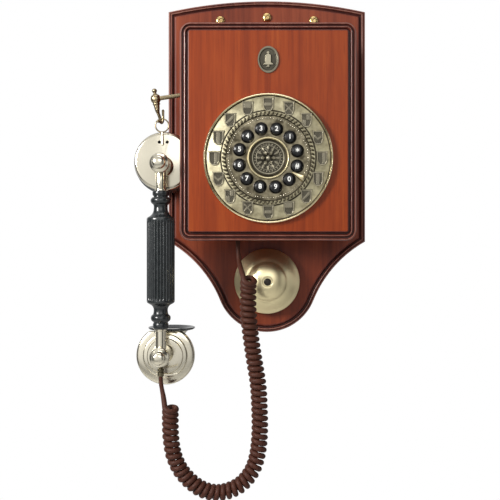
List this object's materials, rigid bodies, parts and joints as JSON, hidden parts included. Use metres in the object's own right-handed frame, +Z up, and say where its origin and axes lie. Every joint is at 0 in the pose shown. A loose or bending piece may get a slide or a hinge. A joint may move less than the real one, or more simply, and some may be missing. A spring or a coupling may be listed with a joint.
{
  "type": "wall telephone",
  "caption": "Wooden wall telephone with a shaped backboard, a dial of push buttons, a brass bell, a hook and an old-style handset on a curly cord.",
  "frame": {"origin": "on the backboard's back face, midway between the two wall screws", "axes": "+X right, +Y into the wall, +Z up"},
  "size_m": [0.2401, 0.0957, 0.5077],
  "materials": {
    "board_wood": "polished",
    "case_wood": "polished",
    "panel_wood": "polished",
    "plain_wood": "satin",
    "screw_brass": "polished",
    "emblem_brass": "satin",
    "dial_brass": "satin",
    "dial_dark_brass": "antique",
    "bright_brass": "polished",
    "bell_brass": "satin",
    "fittings_brass": "antique",
    "steel": "satin",
    "dark_steel": "dark",
    "button_black": "gloss",
    "handset_black": "satin",
    "inner_plastic": "matt",
    "circuit_board": "matt",
    "mat_rubber": "matt",
    "coil_tape": "gloss",
    "cord_brown": "satin"
  },
  "bodies": {
    "wall_unit": {"backboard": "board_wood", "board_screws": "screw_brass", "case_left": "case_wood", "case_right": "case_wood", "case_top": "case_wood", "case_bottom": "case_wood", "corner_blocks": "plain_wood", "case_screws": "steel", "panel_dowels": "plain_wood", "front_panel": "panel_wood", "emblem": "emblem_brass", "dial_ring": "dial_brass", "dial_shields": "dial_brass", "rope_ring": "dial_dark_brass", "dial_plate": "dial_dark_brass", "medallion_ring": "dial_brass", "medallion": "dial_dark_brass", "finger_stop": "bright_brass", "keypad_housing": "inner_plastic", "keypad_board": "circuit_board", "keypad_mat": "mat_rubber", "bell_gong": "bell_brass", "bell_post": "steel", "bell_screw": "dark_steel", "ringer_frame": "steel", "ringer_coil": "coil_tape", "hook_bracket": "steel", "hook_pivot_pin": "steel", "hook_spring": "steel", "hook_switch": "inner_plastic", "main_circuit_board": "circuit_board", "line_jack": "inner_plastic", "cord_gland": "inner_plastic", "cord_case_lead": "cord_brown", "cord_coil": "cord_brown"},
    "hook": {"hook_arm": "fittings_brass"},
    "handset": {"ear_cap": "handset_black", "ear_cover": "fittings_brass", "receiver_capsule": "inner_plastic", "hanging_ring": "fittings_brass", "handset_frame": "fittings_brass", "handset_grip": "handset_black", "mouth_disc": "fittings_brass", "microphone_capsule": "inner_plastic", "horn_lip": "handset_black", "cord_saddle": "fittings_brass", "cord_handset_lead": "cord_brown"},
    "striker": {"bell_striker": "bright_brass"},
    "push_1": {"button_1": "button_black"},
    "push_2": {"button_2": "button_black"},
    "push_3": {"button_3": "button_black"},
    "push_4": {"button_4": "button_black"},
    "push_5": {"button_5": "button_black"},
    "push_6": {"button_6": "button_black"},
    "push_7": {"button_7": "button_black"},
    "push_8": {"button_8": "button_black"},
    "push_9": {"button_9": "button_black"},
    "push_0": {"button_0": "button_black"},
    "push_hash": {"button_hash": "button_black"},
    "push_star": {"button_star": "button_black"}
  },
  "joints": [
    {"name": "handset_lift", "type": "slide", "parent": "wall_unit", "child": "handset", "axis": [-0.536, -0.8245, 0.1814], "range_m": [0, 0.09]},
    {"name": "hook_tilt", "type": "hinge", "parent": "wall_unit", "child": "hook", "pos_m": [-0.04, -0.05, -0.037], "axis": [0, 1, 0], "range_deg": [0, 8.5]},
    {"name": "striker_swing", "type": "hinge", "parent": "wall_unit", "child": "striker", "pos_m": [-0.012, -0.0214, -0.214], "axis": [0, 1, 0], "range_deg": [-4, 4]},
    {"name": "press_1", "type": "slide", "parent": "wall_unit", "child": "push_1", "axis": [0, 1, 0], "range_m": [0, 0.0015], "stiffness_N_per_m": 350, "springref_m": -0.0015},
    {"name": "press_2", "type": "slide", "parent": "wall_unit", "child": "push_2", "axis": [0, 1, 0], "range_m": [0, 0.0015], "stiffness_N_per_m": 350, "springref_m": -0.0015},
    {"name": "press_3", "type": "slide", "parent": "wall_unit", "child": "push_3", "axis": [0, 1, 0], "range_m": [0, 0.0015], "stiffness_N_per_m": 350, "springref_m": -0.0015},
    {"name": "press_4", "type": "slide", "parent": "wall_unit", "child": "push_4", "axis": [0, 1, 0], "range_m": [0, 0.0015], "stiffness_N_per_m": 350, "springref_m": -0.0015},
    {"name": "press_5", "type": "slide", "parent": "wall_unit", "child": "push_5", "axis": [0, 1, 0], "range_m": [0, 0.0015], "stiffness_N_per_m": 350, "springref_m": -0.0015},
    {"name": "press_6", "type": "slide", "parent": "wall_unit", "child": "push_6", "axis": [0, 1, 0], "range_m": [0, 0.0015], "stiffness_N_per_m": 350, "springref_m": -0.0015},
    {"name": "press_7", "type": "slide", "parent": "wall_unit", "child": "push_7", "axis": [0, 1, 0], "range_m": [0, 0.0015], "stiffness_N_per_m": 350, "springref_m": -0.0015},
    {"name": "press_8", "type": "slide", "parent": "wall_unit", "child": "push_8", "axis": [0, 1, 0], "range_m": [0, 0.0015], "stiffness_N_per_m": 350, "springref_m": -0.0015},
    {"name": "press_9", "type": "slide", "parent": "wall_unit", "child": "push_9", "axis": [0, 1, 0], "range_m": [0, 0.0015], "stiffness_N_per_m": 350, "springref_m": -0.0015},
    {"name": "press_0", "type": "slide", "parent": "wall_unit", "child": "push_0", "axis": [0, 1, 0], "range_m": [0, 0.0015], "stiffness_N_per_m": 350, "springref_m": -0.0015},
    {"name": "press_hash", "type": "slide", "parent": "wall_unit", "child": "push_hash", "axis": [0, 1, 0], "range_m": [0, 0.0015], "stiffness_N_per_m": 350, "springref_m": -0.0015},
    {"name": "press_star", "type": "slide", "parent": "wall_unit", "child": "push_star", "axis": [0, 1, 0], "range_m": [0, 0.0015], "stiffness_N_per_m": 350, "springref_m": -0.0015}
  ],
  "couplings": [
    {"joint": "hook_tilt", "follows": "handset_lift", "rad_per_m": 1.645}
  ]
}
